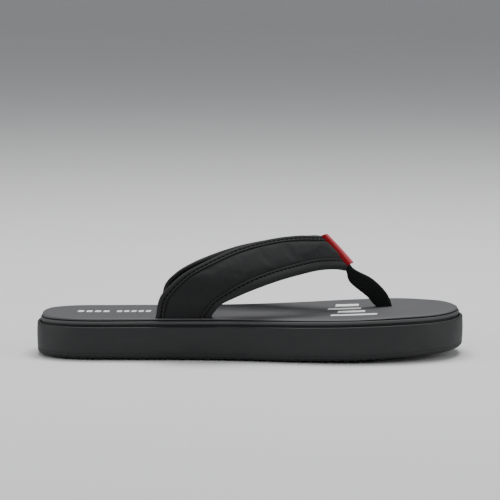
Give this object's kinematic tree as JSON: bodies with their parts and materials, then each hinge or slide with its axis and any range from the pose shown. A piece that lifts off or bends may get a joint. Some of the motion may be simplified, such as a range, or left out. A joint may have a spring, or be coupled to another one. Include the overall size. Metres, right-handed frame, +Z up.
{
  "type": "flip flop",
  "caption": "Right-foot padded flip flop: thick foam sole with ribbed tread, layered footbed, stitched fabric strap, folded label and webbing toe post.",
  "frame": {"origin": "on the ground under the middle of the sole's plan outline", "axes": "+X from heel to toe, +Y to the inner side of the foot, +Z up"},
  "size_m": [0.285, 0.1052, 0.079],
  "materials": {
    "outsole_rubber": "moulded, matte, cross-ribbed",
    "midsole_foam": "moulded closed-cell foam, fine grain, satin",
    "footbed_foam": "closed-cell foam, matte",
    "footbed_skin": "soft synthetic skin, fine grain, matte",
    "soft_foam": "open-cell foam",
    "strap_fabric": "fine plain weave, matte",
    "lining_fabric": "brushed knit",
    "thread": "twisted polyester",
    "webbing": "dense rib weave",
    "washer_plastic": "moulded",
    "label_fabric": "tight satin weave",
    "print_ink": "flat screen print"
  },
  "bodies": {
    "root": {"outsole": "outsole_rubber", "midsole": "midsole_foam", "footbed_base": "footbed_foam", "footbed_pad": "soft_foam", "footbed_cover": "footbed_skin", "strap_cover_lateral": "strap_fabric", "strap_pad_lateral": "soft_foam", "strap_lining_lateral": "lining_fabric", "strap_rear_binding_lateral": "strap_fabric", "strap_front_binding_lateral": "strap_fabric", "strap_tail_lateral": "webbing", "rear_stitching_lateral": "thread", "front_stitching_lateral": "thread", "strap_cover_medial": "strap_fabric", "strap_pad_medial": "soft_foam", "strap_lining_medial": "lining_fabric", "strap_rear_binding_medial": "strap_fabric", "strap_front_binding_medial": "strap_fabric", "strap_tail_medial": "webbing", "rear_stitching_medial": "thread", "front_stitching_medial": "thread", "centre_label": "label_fabric", "seam_tape": "lining_fabric", "toe_post": "webbing", "post_washer": "washer_plastic", "heel_print": "print_ink", "forefoot_print": "print_ink"}
  },
  "joints": []
}
